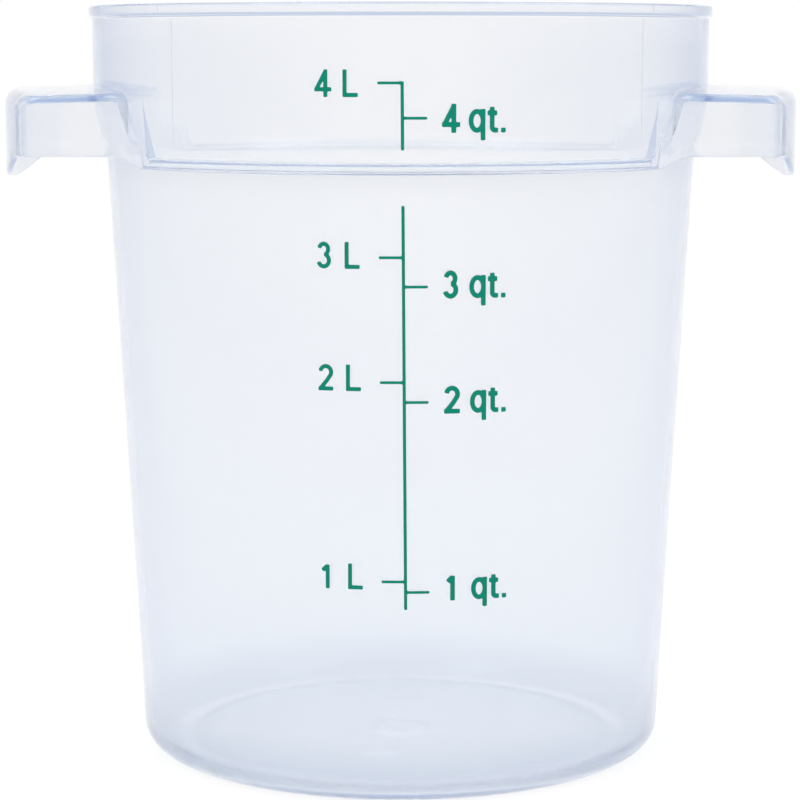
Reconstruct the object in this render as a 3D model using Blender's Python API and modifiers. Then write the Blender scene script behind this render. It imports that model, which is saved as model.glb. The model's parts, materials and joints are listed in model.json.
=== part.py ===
"""Round food storage tub with two channel handles and a printed volume scale.

The tub is one moulding of translucent polypropylene. A tapered body widens at a stacking ledge into an
upright collar with a thickened rim. The ledge ends in a short drip skirt. At each side ledge and skirt
climb into a channel handle that is open below: the ledge becomes the handle's top plate, the skirt its
front, end and back, and the wall behind it leans out to the collar. The green volume scale is printed on
the front in two strokes, one on the collar and one on the body.

Metres, +Z up. The origin is the centre of the base, the handles lie along X and the scale faces -Y.
"""

from math import asin, cos, degrees, hypot, radians, sin, sqrt, tan

import bmesh
import bpy
from mathutils import Matrix

# Tub as a whole
HEIGHT = 0.2225
RIM_RADIUS = 0.0923
WALL = 0.0020
BODY_DRAFT_DEG = 3.1
COLLAR_DRAFT_DEG = 0.3

# Rim: an outer bead and a mouth that opens out a little to guide the lid
BEAD_DEPTH = 0.0029
BEAD_REACH = 0.0009
BEAD_ROUND = 0.0006
MOUTH_FLARE = 0.0009
MOUTH_DEPTH = 0.0065

# Stacking ledge and the drip skirt that hangs from its edge
COLLAR_DEPTH = 0.0458
LEDGE_STEP = 0.0038
LEDGE_PLATE = 0.0018
SKIRT_WALL = 0.0018
SKIRT_DROP = 0.0017

# Base: rounded corner, standing ring, raised middle, gate dimple and a round mould mark
FLOOR = 0.0024
BASE_CORNER = 0.0080
FOOT_WIDTH = 0.0070
FOOT_RISE = 0.0008
GATE_RADIUS = 0.0080
GATE_DEPTH = 0.0008
MARK_RADIUS = 0.0055
MARK_DEPTH = 0.0004
MARK_X = -0.0062
MARK_Y = -0.0268

# Channel handles
HANDLE_REACH = 0.1171
HANDLE_HALF_WIDTH = 0.0460
HANDLE_TOP_DROP = 0.0232
HANDLE_DEPTH = 0.0195
HANDLE_FALL_DEG = 1.5
HANDLE_CORNER = 0.0050
HANDLE_FOLD = 0.0044
HANDLE_FLARE = 0.0090
POCKET_PAST = 0.0051
RAMP_RISE = 0.0156
NOTCH_LENGTH = 0.0062
TONGUE_DROP = 0.0073
TONGUE_SETBACK = 0.0080
TONGUE_DEPTH = 0.0200

# Printed scale: strokes of ink, with their heights as shares of the body or of the collar they are on
STROKE = 0.00088
TICK_REACH = 0.0066
PRINT_OFFSET = 0.0004
PRINT_LEAN = 0.0010
INK_GAP = 0.0003
INK = 0.0002
STENCIL_DEPTH = 0.0120
BODY_LINE_SHARES = (0.953, 0.321)
BODY_LITRE_SHARES = (0.874, 0.681, 0.366)
BODY_QUART_SHARES = (0.829, 0.650, 0.349)
COLLAR_FOOT_SHARE = 0.146
COLLAR_LITRE_SHARE = 0.535
COLLAR_QUART_SHARE = 0.332

# Making: small setbacks that keep two cuts from sharing a face, and how finely curves are faceted
OVERRUN = 0.0030
SETBACK = 0.0003
TURN_STEPS = 96
CORNER_STEPS = 5
FOLD_STEPS = 4
ARC_STEPS = 14
SMOOTH_DEG = 30
MERGE = 0.00001

BODY_SLOPE = tan(radians(BODY_DRAFT_DEG))
COLLAR_SLOPE = tan(radians(COLLAR_DRAFT_DEG))
HANDLE_SLOPE = tan(radians(HANDLE_FALL_DEG))

COLLAR_TOP_RADIUS = RIM_RADIUS - BEAD_REACH
SKIRT_Z = HEIGHT - COLLAR_DEPTH
LEDGE_UNDER_Z = SKIRT_Z + SKIRT_DROP
LEDGE_TOP_Z = LEDGE_UNDER_Z + LEDGE_PLATE
RAMP_TOP_Z = LEDGE_UNDER_Z + RAMP_RISE
HANDLE_TOP_Z = HEIGHT - HANDLE_TOP_DROP
HANDLE_UNDER_Z = HANDLE_TOP_Z - HANDLE_DEPTH
TONGUE_Z = HANDLE_UNDER_Z - TONGUE_DROP
TONGUE_HALF_WIDTH = HANDLE_HALF_WIDTH - TONGUE_SETBACK
LOW_Z = min(TONGUE_Z, SKIRT_Z) - OVERRUN


def collar_radius(z):
    """Outer radius of the upright collar at height z."""
    return COLLAR_TOP_RADIUS - (HEIGHT - z) * COLLAR_SLOPE


def body_radius(z):
    """Outer radius of the tapered body at height z."""
    return collar_radius(SKIRT_Z) - LEDGE_STEP - (SKIRT_Z - z) * BODY_SLOPE


def arc(centre, radius, start_deg, end_deg, steps):
    """Points on an arc, both ends included."""
    turns = [radians(start_deg + (end_deg - start_deg) * i / steps) for i in range(steps + 1)]
    return [(centre[0] + radius * cos(a), centre[1] + radius * sin(a)) for a in turns]


def base_corner(wall_offset, floor_z, radius):
    """The corner between the tapered wall, moved in by wall_offset, and a floor at floor_z."""
    draft = radians(BODY_DRAFT_DEG)
    touch_z = floor_z + radius * (1 - sin(draft))
    centre = (body_radius(touch_z) - wall_offset - radius * cos(draft), floor_z + radius)
    return arc(centre, radius, -BODY_DRAFT_DEG, -90, CORNER_STEPS)


def outer_profile():
    """Outer half section of the tub, filled to the axis, from the top down."""
    bead = arc((RIM_RADIUS - BEAD_ROUND, HEIGHT - BEAD_ROUND), BEAD_ROUND, 90, 0, 3)
    bead_under = HEIGHT - BEAD_DEPTH
    corner = base_corner(0, 0, BASE_CORNER)
    foot_inner = corner[-1][0] - FOOT_WIDTH
    skirt = collar_radius(SKIRT_Z)
    return [
        (0, HEIGHT),
        *bead,
        (RIM_RADIUS, bead_under),
        (collar_radius(bead_under), bead_under - BEAD_REACH),
        (skirt, SKIRT_Z),
        (skirt - SKIRT_WALL, SKIRT_Z),
        (skirt - SKIRT_WALL, LEDGE_UNDER_Z),
        (body_radius(LEDGE_UNDER_Z), LEDGE_UNDER_Z),
        *corner,
        (foot_inner, 0),
        (foot_inner - FOOT_RISE, FOOT_RISE),
        (GATE_RADIUS, FOOT_RISE),
        (GATE_RADIUS - GATE_DEPTH, FOOT_RISE + GATE_DEPTH),
        (0, FOOT_RISE + GATE_DEPTH),
    ]


def hollow_profile():
    """Half section of the space inside the tub, from above the mouth down to the floor."""
    floor_z = FOOT_RISE + FLOOR
    inner = collar_radius(HEIGHT - MOUTH_DEPTH) - WALL
    return [
        (0, HEIGHT + OVERRUN),
        (inner + MOUTH_FLARE, HEIGHT + OVERRUN),
        (inner + MOUTH_FLARE, HEIGHT),
        (inner, HEIGHT - MOUTH_DEPTH),
        (collar_radius(LEDGE_TOP_Z) - WALL, LEDGE_TOP_Z),
        (body_radius(LEDGE_TOP_Z) - WALL, LEDGE_TOP_Z),
        *base_corner(WALL, floor_z, BASE_CORNER - WALL),
        (0, floor_z),
    ]


def ramp_line():
    """Foot and head of the leaning wall behind a handle, on its outer face."""
    foot = (body_radius(LEDGE_UNDER_Z) + SETBACK, LEDGE_UNDER_Z - SETBACK)
    head = (collar_radius(RAMP_TOP_Z), RAMP_TOP_Z)
    return foot, head


def core_profile():
    """Half section of what stays of the tub behind a handle: body, leaning wall and collar."""
    foot, head = ramp_line()
    return [
        (0, HANDLE_TOP_Z),
        (collar_radius(HANDLE_TOP_Z), HANDLE_TOP_Z),
        head,
        foot,
        (body_radius(LOW_Z - OVERRUN) + SETBACK, LOW_Z - OVERRUN),
        (0, LOW_Z - OVERRUN),
    ]


def pad_section():
    """Section of the ring that backs the leaning wall on the inside of the tub."""
    head = (collar_radius(RAMP_TOP_Z) - WALL, RAMP_TOP_Z)
    foot = (body_radius(LEDGE_TOP_Z) - WALL + SETBACK, LEDGE_TOP_Z - SETBACK)
    lean = (head[0] - foot[0]) / (head[1] - foot[1])
    past = (head[0] + SETBACK * lean, head[1] + SETBACK)
    return [
        (RIM_RADIUS, past[1]),
        (RIM_RADIUS, LEDGE_UNDER_Z),
        (foot[0], LEDGE_UNDER_Z),
        foot,
        past,
    ]


def pocket_section():
    """Section of the ring that opens the pocket between leaning wall and skirt."""
    outer = pocket_radius()
    inner = body_radius(LOW_Z) - OVERRUN
    return [(outer, RAMP_TOP_Z), (outer, LOW_Z), (inner, LOW_Z), (inner, RAMP_TOP_Z)]


def pocket_radius():
    """Outer radius of the pocket: the inner face of the skirt beside a handle."""
    return collar_radius(SKIRT_Z) - SKIRT_WALL - SETBACK


def pocket_half_deg():
    """Half the pocket's spread about X: it runs a little past the point where the handle meets the collar."""
    meets = collar_radius(HANDLE_UNDER_Z) - SETBACK
    flare_deg = degrees(asin((HANDLE_HALF_WIDTH + HANDLE_FLARE) / (meets + HANDLE_FLARE)))
    return flare_deg + degrees(POCKET_PAST / collar_radius(HANDLE_UNDER_Z))


def handle_plan(inset, meets):
    """Plan of the +X handle, drawn in by inset from its outer faces, from the front round to the back.

    Its concave flares end where they touch a circle of radius meets about the tub's axis.
    """
    half = HANDLE_HALF_WIDTH - inset
    reach = HANDLE_REACH - inset
    corner = HANDLE_CORNER - inset
    flare = HANDLE_FLARE + inset
    corner_x = sqrt((reach - corner) ** 2 - (half - corner) ** 2)
    corner_deg = degrees(asin((half - corner) / (reach - corner)))
    flare_x = sqrt((meets + flare) ** 2 - (half + flare) ** 2)
    flare_deg = degrees(asin((half + flare) / (meets + flare)))
    inner = meets / 2
    root = (inner * cos(radians(flare_deg)), inner * sin(radians(flare_deg)))
    back = [
        *arc((0, 0), reach, 0, corner_deg, ARC_STEPS // 2)[:-1],
        *arc((corner_x, half - corner), corner, corner_deg, 90, CORNER_STEPS),
        *arc((flare_x, half + flare), flare, -90, flare_deg - 180, CORNER_STEPS),
        root,
    ]
    front = [(x, -y) for x, y in reversed(back[1:])]
    return front + back


def handle_top(x, drop):
    """Height of the handle's top plate at x, lowered by drop: it falls away from the tub."""
    return HANDLE_TOP_Z - drop - (x - RIM_RADIUS) * HANDLE_SLOPE


def tongue_outline():
    """The end wall's drooping lower edge, in Y and Z, closed above the skirt's straight edge."""
    radius = (TONGUE_HALF_WIDTH**2 + TONGUE_DROP**2) / (2 * TONGUE_DROP)
    spread = degrees(asin(TONGUE_HALF_WIDTH / radius))
    curve = arc((0, TONGUE_Z + radius), radius, -90 - spread, -90 + spread, ARC_STEPS)
    lid_z = HANDLE_UNDER_Z + OVERRUN
    return [*curve, (TONGUE_HALF_WIDTH, lid_z), (-TONGUE_HALF_WIDTH, lid_z)]


def trim_outline():
    """What is cut away under the handle's skirt, in X and Z: level, then sloping to the drip skirt."""
    notch_x = handle_notch_x()
    low = LOW_Z - OVERRUN
    return [
        (0, low),
        (HANDLE_REACH + OVERRUN, low),
        (HANDLE_REACH + OVERRUN, HANDLE_UNDER_Z),
        (notch_x, HANDLE_UNDER_Z),
        (notch_x - NOTCH_LENGTH, SKIRT_Z + SETBACK),
        (0, SKIRT_Z + SETBACK),
    ]


def handle_notch_x():
    """Where the skirt's level lower edge ends: beside the tub, at the skirt's own width."""
    return sqrt(collar_radius(HANDLE_UNDER_Z) ** 2 - HANDLE_HALF_WIDTH**2) + SKIRT_WALL


def sector_outline(half_deg):
    """Plan of a wedge about +X, cut short of the axis."""
    near, far = RIM_RADIUS / 2, RIM_RADIUS + OVERRUN
    rise = tan(radians(half_deg))
    return [(near, -near * rise), (far, -far * rise), (far, far * rise), (near, near * rise)]


def comb_outline(top, foot, left_marks, right_marks, lean_top, lean_foot):
    """An upright stroke with ticks to its left and right, in X and Z."""

    def centre(z):
        share = (lean_top - z) / (lean_top - lean_foot)
        return PRINT_OFFSET + PRINT_LEAN * share

    def side(marks, hand):
        points = []
        for z in marks:
            edge = centre(z) + hand * STROKE / 2
            tip = centre(z) + hand * TICK_REACH
            points += [(edge, z + STROKE / 2), (tip, z + STROKE / 2), (tip, z - STROKE / 2), (edge, z - STROKE / 2)]
        return points

    down = [(centre(top) - STROKE / 2, top), *side(left_marks, -1), (centre(foot) - STROKE / 2, foot)]
    up = [(centre(top) + STROKE / 2, top), *side(right_marks, 1), (centre(foot) + STROKE / 2, foot)]
    outline = down + up[::-1]
    return [p for i, p in enumerate(outline) if hypot(p[0] - outline[i - 1][0], p[1] - outline[i - 1][1]) > MERGE]


def add_collection(name):
    collection = bpy.data.collections.new(name)
    bpy.context.scene.collection.children.link(collection)
    return collection


def make_guide(obj):
    """Marks an object as a cutter: drawn as a wire and left out of renders."""
    obj.hide_render = True
    obj.display_type = "WIRE"
    return obj


def turned(name, profile, collection, ring=False):
    """A solid of revolution about Z from a half section at +X; a ring's section is closed."""
    mesh = bpy.data.meshes.new(name)
    edges = [(i, i + 1) for i in range(len(profile) - 1)]
    if ring:
        edges.append((len(profile) - 1, 0))
    mesh.from_pydata([(r, 0, z) for r, z in profile], edges, [])
    obj = bpy.data.objects.new(name, mesh)
    collection.objects.link(obj)
    screw = obj.modifiers.new("turn", "SCREW")
    screw.steps = TURN_STEPS
    screw.render_steps = TURN_STEPS
    screw.use_merge_vertices = True
    screw.merge_threshold = MERGE
    return obj


def prism(name, outline, half_depth, collection, matrix):
    """A flat outline made thick by half_depth each way, turned into a mesh and placed by matrix."""
    curve = bpy.data.curves.new(name, "CURVE")
    curve.dimensions = "2D"
    curve.fill_mode = "BOTH"
    curve.extrude = half_depth
    spline = curve.splines.new("POLY")
    spline.points.add(len(outline) - 1)
    for point, (x, y) in zip(spline.points, outline):
        point.co = (x, y, 0, 1)
    spline.use_cyclic_u = True
    flat = bpy.data.objects.new(name, curve)
    collection.objects.link(flat)
    bpy.context.view_layer.update()
    mesh = bpy.data.meshes.new_from_object(flat.evaluated_get(bpy.context.evaluated_depsgraph_get()))
    bpy.data.objects.remove(flat)
    bm = bmesh.new()
    bm.from_mesh(mesh)
    bmesh.ops.remove_doubles(bm, verts=bm.verts, dist=MERGE)
    bmesh.ops.dissolve_limit(bm, angle_limit=radians(1), verts=bm.verts, edges=bm.edges)
    bmesh.ops.recalc_face_normals(bm, faces=bm.faces)
    bm.to_mesh(mesh)
    bm.free()
    mesh.transform(matrix)
    mesh.name = name
    obj = bpy.data.objects.new(name, mesh)
    collection.objects.link(obj)
    return obj


def upright_xz(y):
    """Places an outline in X and Z, its thickness along Y, with its middle at y."""
    return Matrix.Translation((0, y, 0)) @ Matrix.Rotation(radians(90), 4, "X")


def upright_yz(x):
    """Places an outline in Y and Z, its thickness along X, with its middle at x."""
    return Matrix.Translation((x, 0, 0)) @ Matrix(((0, 0, 1, 0), (1, 0, 0, 0), (0, 1, 0, 0), (0, 0, 0, 1)))


def combine(obj, other, operation):
    """Joins, cuts or intersects obj with other, and welds the points where facets of both meet in one place."""
    boolean = obj.modifiers.new(other.name, "BOOLEAN")
    boolean.operation = operation
    boolean.solver = "EXACT"
    boolean.object = other
    weld = obj.modifiers.new(other.name + " weld", "WELD")
    weld.merge_threshold = MERGE


def mirror_x(obj):
    mirror = obj.modifiers.new("other side", "MIRROR")
    mirror.use_axis = (True, False, False)
    mirror.merge_threshold = MERGE


def settle(obj):
    """Turns an object's modifiers into its mesh and shades its round faces smooth."""
    bpy.context.view_layer.update()
    done = bpy.data.meshes.new_from_object(obj.evaluated_get(bpy.context.evaluated_depsgraph_get()))
    obj.modifiers.clear()
    obj.data = done
    done.name = obj.name
    done.shade_smooth()
    done.set_sharp_from_angle(angle=radians(SMOOTH_DEG))


def dress(obj, name, colour, roughness, alpha=1.0):
    material = bpy.data.materials.new(name)
    material.use_nodes = True
    shader = material.node_tree.nodes["Principled BSDF"]
    shader.inputs["Base Color"].default_value = (*colour, 1)
    shader.inputs["Roughness"].default_value = roughness
    shader.inputs["Metallic"].default_value = 0
    shader.inputs["Alpha"].default_value = alpha
    obj.data.materials.clear()
    obj.data.materials.append(material)


def handle_solid(name, inset, meets, fold, collection):
    """The +X handle's form, drawn in by inset, with a falling top whose edges are rounded by fold."""
    middle = (HANDLE_TOP_Z + LOW_Z) / 2
    plan = handle_plan(inset, meets)
    solid = prism(name, plan, middle - LOW_Z, collection, Matrix.Translation((0, 0, middle)))
    bm = bmesh.new()
    bm.from_mesh(solid.data)
    crown = [v for v in bm.verts if v.co.z > middle]
    for vert in crown:
        vert.co.z = handle_top(vert.co.x, inset)
    edges = [e for e in bm.edges if all(v.co.z > middle for v in e.verts)]
    bmesh.ops.bevel(bm, geom=edges, offset=fold, segments=FOLD_STEPS, profile=0.5, affect="EDGES")
    bm.to_mesh(solid.data)
    bm.free()
    return solid


def make_handles(cutters):
    """Both handles as solid forms, trimmed below to the straight skirt and the end wall's tongue."""
    meets = collar_radius(HANDLE_UNDER_Z) - SETBACK
    handles = make_guide(handle_solid("handle_forms", 0, meets, HANDLE_FOLD, cutters))
    trim = make_guide(
        prism("handle_trim", trim_outline(), HANDLE_HALF_WIDTH + HANDLE_FLARE + OVERRUN, cutters, upright_xz(0))
    )
    tongue_x = HANDLE_REACH + OVERRUN - TONGUE_DEPTH / 2
    tongue = make_guide(
        prism("tongue_form", tongue_outline(), TONGUE_DEPTH / 2 + OVERRUN, cutters, upright_yz(tongue_x))
    )
    combine(trim, tongue, "DIFFERENCE")
    combine(handles, trim, "DIFFERENCE")
    mirror_x(handles)
    return handles


def make_channels(cutters):
    """The open channels under both handles, up to the leaning wall of the tub."""
    meets = pocket_radius() - SETBACK
    fold = HANDLE_FOLD - SKIRT_WALL
    channels = make_guide(handle_solid("handle_channels", SKIRT_WALL, meets, fold, cutters))
    pocket = make_guide(turned("pocket_ring", pocket_section(), cutters, ring=True))
    sector_middle = (LOW_Z + RAMP_TOP_Z) / 2
    sector = make_guide(
        prism(
            "pocket_sector",
            sector_outline(pocket_half_deg()),
            sector_middle - LOW_Z + OVERRUN,
            cutters,
            Matrix.Translation((0, 0, sector_middle)),
        )
    )
    core = make_guide(turned("tub_core", core_profile(), cutters))
    combine(pocket, sector, "INTERSECT")
    combine(channels, pocket, "UNION")
    combine(channels, core, "DIFFERENCE")
    mirror_x(channels)
    return channels


def make_hollow(cutters):
    """The space inside the tub, less the pads that back the leaning walls."""
    hollow = make_guide(turned("hollow", hollow_profile(), cutters))
    pads = make_guide(turned("ramp_pads", pad_section(), cutters, ring=True))
    web_deg = degrees(WALL / collar_radius(LEDGE_TOP_Z))
    sector_middle = (LOW_Z + RAMP_TOP_Z) / 2
    sector = make_guide(
        prism(
            "pad_sectors",
            sector_outline(pocket_half_deg() + web_deg),
            sector_middle - LOW_Z + OVERRUN,
            cutters,
            Matrix.Translation((0, 0, sector_middle)),
        )
    )
    mirror_x(sector)
    combine(pads, sector, "INTERSECT")
    combine(hollow, pads, "DIFFERENCE")
    return hollow


def make_mould_mark(cutters):
    """A shallow round mark in the underside of the base."""
    bm = bmesh.new()
    bmesh.ops.create_cone(
        bm,
        cap_ends=True,
        segments=TURN_STEPS // 3,
        radius1=MARK_RADIUS,
        radius2=MARK_RADIUS,
        depth=2 * MARK_DEPTH,
    )
    mesh = bpy.data.meshes.new("mould_mark")
    bm.to_mesh(mesh)
    bm.free()
    mark = make_guide(bpy.data.objects.new("mould_mark", mesh))
    mark.location = (MARK_X, MARK_Y, FOOT_RISE)
    cutters.objects.link(mark)
    return mark


def make_tub(parts, cutters):
    tub = turned("tub", outer_profile(), parts)
    combine(tub, make_handles(cutters), "UNION")
    combine(tub, make_hollow(cutters), "DIFFERENCE")
    combine(tub, make_channels(cutters), "DIFFERENCE")
    combine(tub, make_mould_mark(cutters), "DIFFERENCE")
    settle(tub)
    dress(tub, "translucent_polypropylene", (0.86, 0.90, 0.96), 0.30, 0.45)
    return tub


def film_section(radius_at, top, foot):
    """Section of a ring of ink that follows the wall at a small gap."""
    near, far = INK_GAP, INK_GAP + INK
    return [
        (radius_at(top) + far, top),
        (radius_at(foot) + far, foot),
        (radius_at(foot) + near, foot),
        (radius_at(top) + near, top),
    ]


def make_scale(name, radius_at, outline, parts, cutters):
    """One connected stroke of the printed scale: a film on the wall, cut out by a flat stencil."""
    top = max(z for _, z in outline) + STROKE
    foot = min(z for _, z in outline) - STROKE
    film = turned(name, film_section(radius_at, top, foot), parts, ring=True)
    front = -(radius_at(top) + radius_at(foot)) / 2
    stencil = make_guide(prism(name + "_stencil", outline, STENCIL_DEPTH, cutters, upright_xz(front)))
    combine(film, stencil, "INTERSECT")
    settle(film)
    dress(film, name + "_ink", (0.004, 0.26, 0.17), 0.45)
    return film


def make_scales(parts, cutters):
    """The collar's stroke with its two ticks, and the body's with its six."""

    def on_collar(share):
        return SKIRT_Z + COLLAR_DEPTH * share

    def on_body(share):
        return SKIRT_Z * share

    litre, quart = on_collar(COLLAR_LITRE_SHARE), on_collar(COLLAR_QUART_SHARE)
    collar_top, collar_foot = litre + STROKE / 2, on_collar(COLLAR_FOOT_SHARE)
    lean_foot = on_body(BODY_LINE_SHARES[1])
    collar = comb_outline(collar_top, collar_foot, [litre], [quart], collar_top, lean_foot)
    body = comb_outline(
        on_body(BODY_LINE_SHARES[0]),
        lean_foot,
        [on_body(share) for share in BODY_LITRE_SHARES],
        [on_body(share) for share in BODY_QUART_SHARES],
        collar_top,
        lean_foot,
    )
    make_scale("collar_scale", collar_radius, collar, parts, cutters)
    make_scale("body_scale", body_radius, body, parts, cutters)


def main():
    for obj in list(bpy.data.objects):
        bpy.data.objects.remove(obj)
    parts = add_collection("round_food_storage_container")
    cutters = add_collection("cutters")
    make_tub(parts, cutters)
    make_scales(parts, cutters)


main()
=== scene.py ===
"""Looks of a round food storage tub: one translucent moulding with a green printed volume scale.

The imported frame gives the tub's box, and the sizes below give its walls, ledge, handles and base.
The moulding is one closed surface, lofted round the tub from stations that follow the handles'
outline. The scale's strokes and figures are thin films of ink wrapped on the wall. Metres, +Z up,
scale towards -Y.
"""

import json
import logging
from dataclasses import dataclass
from enum import Enum
from math import asin, cos, pi, radians, sin, sqrt, tan

import bmesh
import bpy
import numpy as np
from mathutils import Matrix, Vector

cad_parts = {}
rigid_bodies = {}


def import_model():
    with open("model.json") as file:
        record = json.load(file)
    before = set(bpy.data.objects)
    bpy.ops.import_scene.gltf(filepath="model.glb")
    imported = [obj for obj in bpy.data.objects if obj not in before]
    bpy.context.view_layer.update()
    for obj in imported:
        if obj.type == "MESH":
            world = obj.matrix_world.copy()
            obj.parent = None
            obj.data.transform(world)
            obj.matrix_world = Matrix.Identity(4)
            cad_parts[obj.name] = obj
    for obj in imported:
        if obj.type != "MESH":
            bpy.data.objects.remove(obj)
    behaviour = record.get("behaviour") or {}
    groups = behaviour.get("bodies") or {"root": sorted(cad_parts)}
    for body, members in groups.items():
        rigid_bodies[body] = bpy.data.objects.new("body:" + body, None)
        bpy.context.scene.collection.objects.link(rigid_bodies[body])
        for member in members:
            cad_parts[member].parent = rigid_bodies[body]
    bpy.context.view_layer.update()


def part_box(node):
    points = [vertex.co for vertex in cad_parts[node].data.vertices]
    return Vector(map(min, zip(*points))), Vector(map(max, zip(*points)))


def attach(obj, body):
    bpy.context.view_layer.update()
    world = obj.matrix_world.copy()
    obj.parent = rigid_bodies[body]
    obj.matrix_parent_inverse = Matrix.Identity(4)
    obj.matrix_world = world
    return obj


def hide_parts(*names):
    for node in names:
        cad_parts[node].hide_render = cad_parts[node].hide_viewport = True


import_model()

LOG = logging.getLogger("storage_tub")
BODY = "root"
PLASTIC_SLOT = "translucent_polypropylene"
INK_SLOT = "scale_ink"
WELD = 0.000001
BELL_REACHES = 3

WHITE = (1.0, 1.0, 1.0, 1.0)

Row = np.ndarray
Place = Row | tuple[Row | float, Row | float]
Path = list[tuple[float, float]]
Colour = tuple[float, float, float, float]
Socket = bpy.types.NodeSocket


class Hand(Enum):
    """Side of the printed stroke on which a mark lies, seen from the front."""

    LEFT = -1
    RIGHT = 1


@dataclass(frozen=True)
class TubForm:
    """Sizes of the moulding in metres and radians; the first three come from the frame."""

    height: float
    rim_radius: float
    handle_reach: float
    wall: float = 0.0020
    body_draft: float = radians(3.1)
    collar_draft: float = radians(0.3)
    bead_depth: float = 0.0029
    bead_reach: float = 0.0009
    bead_round: float = 0.0006
    bead_edge: float = 0.0003
    mouth_flare: float = 0.0009
    mouth_depth: float = 0.0065
    collar_depth: float = 0.0458
    ledge_step: float = 0.0038
    ledge_plate: float = 0.0016
    ledge_round: float = 0.0013
    skirt_wall: float = 0.0018
    skirt_drop: float = 0.0011
    skirt_edge: float = 0.0005
    floor: float = 0.0024
    base_corner: float = 0.0080
    foot_width: float = 0.0070
    foot_rise: float = 0.0008
    foot_edge: float = 0.0007
    gate_radius: float = 0.0080
    gate_depth: float = 0.0008
    mark_radius: float = 0.0055
    mark_depth: float = 0.0004
    mark_edge: float = 0.0007
    mark_x: float = -0.0062
    mark_y: float = -0.0268
    handle_half_width: float = 0.0460
    handle_top_drop: float = 0.0232
    handle_depth: float = 0.0195
    handle_fall: float = radians(1.5)
    handle_corner: float = 0.0070
    handle_fold: float = 0.0044
    handle_side_fold: float = 0.0014
    handle_crown: float = 0.0024
    handle_lift: float = 0.0003
    handle_plate: float = 0.0022
    handle_flare: float = 0.0090
    inner_round: float = 0.0009
    round_share: float = 0.45
    pocket_past: float = 0.0051
    pocket_gap: float = 0.0004
    pocket_steeper: float = 3.0
    web_blend: float = 0.0006
    ramp_rise: float = 0.0162
    notch_length: float = 0.0062
    notch_ease: float = 0.25
    tongue_drop: float = 0.0073
    tongue_setback: float = 0.0080

    @property
    def skirt_z(self) -> float:
        """Lower edge of the drip skirt."""
        return self.height - self.collar_depth

    @property
    def ledge_under_z(self) -> float:
        """Underside of the ledge."""
        return self.skirt_z + self.skirt_drop

    @property
    def ledge_top_z(self) -> float:
        """Top of the ledge, inside the tub."""
        return self.ledge_under_z + self.ledge_plate

    @property
    def body_top_z(self) -> float:
        """Top of the plain body, just under the drip skirt's edge."""
        return self.skirt_z - self.skirt_drop / 2

    @property
    def ramp_top_z(self) -> float:
        """Head of the leaning wall behind a handle."""
        return self.ledge_under_z + self.ramp_rise

    @property
    def handle_top_z(self) -> float:
        """Top of a handle where it leaves the rim's line."""
        return self.height - self.handle_top_drop

    @property
    def handle_under_z(self) -> float:
        """Straight lower edge of a handle's skirt."""
        return self.handle_top_z - self.handle_depth

    @property
    def floor_z(self) -> float:
        """Top of the floor, inside the tub."""
        return self.foot_rise + self.floor

    @property
    def flare_angle(self) -> float:
        """Azimuth from X at which a handle's side runs into the collar."""
        meets = self.collar_radius(self.handle_top_z)
        return asin((self.handle_half_width + self.handle_flare) / (meets + self.handle_flare))

    @property
    def pocket_angle(self) -> float:
        """Azimuth from X at which the pocket under a handle ends in a web."""
        return self.flare_angle + self.pocket_past / self.collar_radius(self.handle_under_z)

    @property
    def web_angle(self) -> float:
        """Azimuth from X of the same web on the inside of the tub."""
        return self.pocket_angle + self.wall / self.collar_radius(self.ledge_top_z)

    def collar_radius(self, z: float | Row) -> float | Row:
        """Outer radius of the collar at height z."""
        return self.rim_radius - self.bead_reach - (self.height - z) * tan(self.collar_draft)

    def body_radius(self, z: float | Row) -> float | Row:
        """Outer radius of the tapered body at height z."""
        top = self.collar_radius(self.skirt_z) - self.ledge_step
        return top - (self.skirt_z - z) * tan(self.body_draft)

    def handle_top(self, x: Row, y: Row) -> Row:
        """Height of a handle's top, which falls outwards and from its middle to its sides.

        Args:
            x: places along X.
            y: places along Y.

        Returns:
            The heights.
        """
        half = self.handle_half_width
        across = np.minimum(np.abs(y) / half, 1 + self.handle_flare / half)
        away = (np.abs(x) - self.rim_radius) * tan(self.handle_fall)
        return self.handle_top_z + self.handle_lift - away - self.handle_crown * across**2

    def lean(self) -> tuple[float, float, float, float]:
        """Radius and height of the foot and head of the leaning wall's outer face."""
        foot_z, head_z = self.ledge_under_z, self.ramp_top_z
        return self.body_radius(foot_z), foot_z, self.collar_radius(head_z), head_z

    def outer_wall(self, z: Row, behind_handle: Row) -> Row:
        """Outer radius under the ledge or in a pocket.

        Args:
            z: heights.
            behind_handle: 1 where the wall leans out behind a handle, 0 where it is the plain body.

        Returns:
            The radii.
        """
        foot_r, foot_z, head_r, head_z = self.lean()
        leaning = foot_r + (z - foot_z) * (head_r - foot_r) / (head_z - foot_z)
        plain, gap = self.body_radius(z), self.pocket_gap
        ramp = soft_max(plain, soft_min(leaning, self.collar_radius(z), gap), gap)
        return plain + (ramp - plain) * behind_handle


def soft_min(a: Row | float, b: Row | float, reach: float) -> Row:
    """The lesser of two values, rounded over where they differ by less than reach."""
    gap = np.maximum(reach - np.abs(np.subtract(a, b)), 0) / reach
    return np.minimum(a, b) - gap * gap * reach / 4


def soft_max(a: Row | float, b: Row | float, reach: float) -> Row:
    """The greater of two values, rounded over where they differ by less than reach."""
    return -soft_min(np.negative(a), np.negative(b), reach)


def step_down(value: Row, middle: float, half: float) -> Row:
    """1 below middle - half, 0 above middle + half, and a smooth step between."""
    t = np.clip((middle + half - value) / (2 * half), 0, 1)
    return t * t * (3 - 2 * t)


def unit(turn: Row) -> Row:
    """Unit vectors in plan at these azimuths."""
    return np.stack([np.cos(turn), np.sin(turn)], -1)


def up_to(start: float, end: float, count: int) -> Row:
    """Evenly spaced values from start, short of end by one step."""
    return np.linspace(start, end, count, endpoint=False)


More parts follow.
